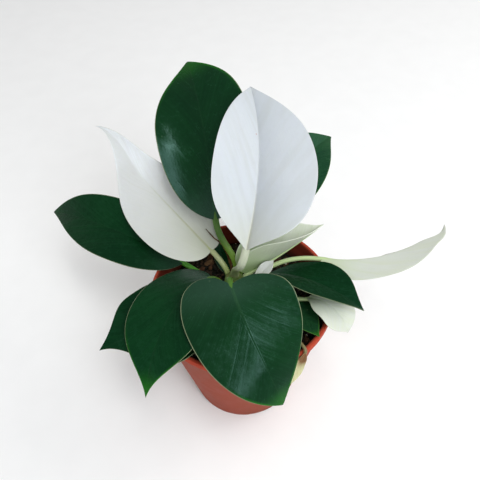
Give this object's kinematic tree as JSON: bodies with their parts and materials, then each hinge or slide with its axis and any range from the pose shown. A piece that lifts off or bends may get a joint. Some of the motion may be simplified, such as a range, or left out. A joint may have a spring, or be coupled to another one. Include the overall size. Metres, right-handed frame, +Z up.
{
  "type": "potted white congo philodendron",
  "caption": "Aroid house plant with broad glossy green leaves and creamy white leaves on fleshy stalks, in a round terracotta-coloured plastic nursery pot filled with bark mix.",
  "frame": {"origin": "middle of the pot's underside, on the surface that it stands on", "axes": "+Z up, -Y towards the viewer of the picture, +X to the picture's right"},
  "size_m": [0.3554, 0.2618, 0.2557],
  "materials": {
    "pot": "moulded plastic, terracotta colour, satin and a little dusty",
    "soil": "dark moist bark and peat mix",
    "stem": "fleshy green stem with leaf scars",
    "dried": "dried brown sheath",
    "leaf_green": "thick glossy leaf, deep green",
    "leaf_white": "thick satin leaf, bluish white with a cream midrib",
    "leaf_cream": "thick satin leaf, cream white with pale green",
    "leaf_yellowed": "old leaf, pale yellow and limp"
  },
  "bodies": {
    "root": {"pot": "pot", "soil": "soil", "stem": "stem", "dried_spike": "dried", "leaf_white_centre": "leaf_white", "leaf_green_back": "leaf_green", "leaf_white_left": "leaf_white", "leaf_green_far_left": "leaf_green", "leaf_green_low_left": "leaf_green", "leaf_green_front_left": "leaf_green", "leaf_green_front": "leaf_green", "leaf_green_right": "leaf_green", "leaf_white_right": "leaf_cream", "leaf_white_low": "leaf_cream", "leaf_pale_young": "leaf_cream", "leaf_green_back_right": "leaf_green", "leaf_green_small": "leaf_green", "leaf_green_inner": "leaf_green", "leaf_white_inner": "leaf_white", "leaf_yellowed_old": "leaf_yellowed"}
  },
  "joints": []
}
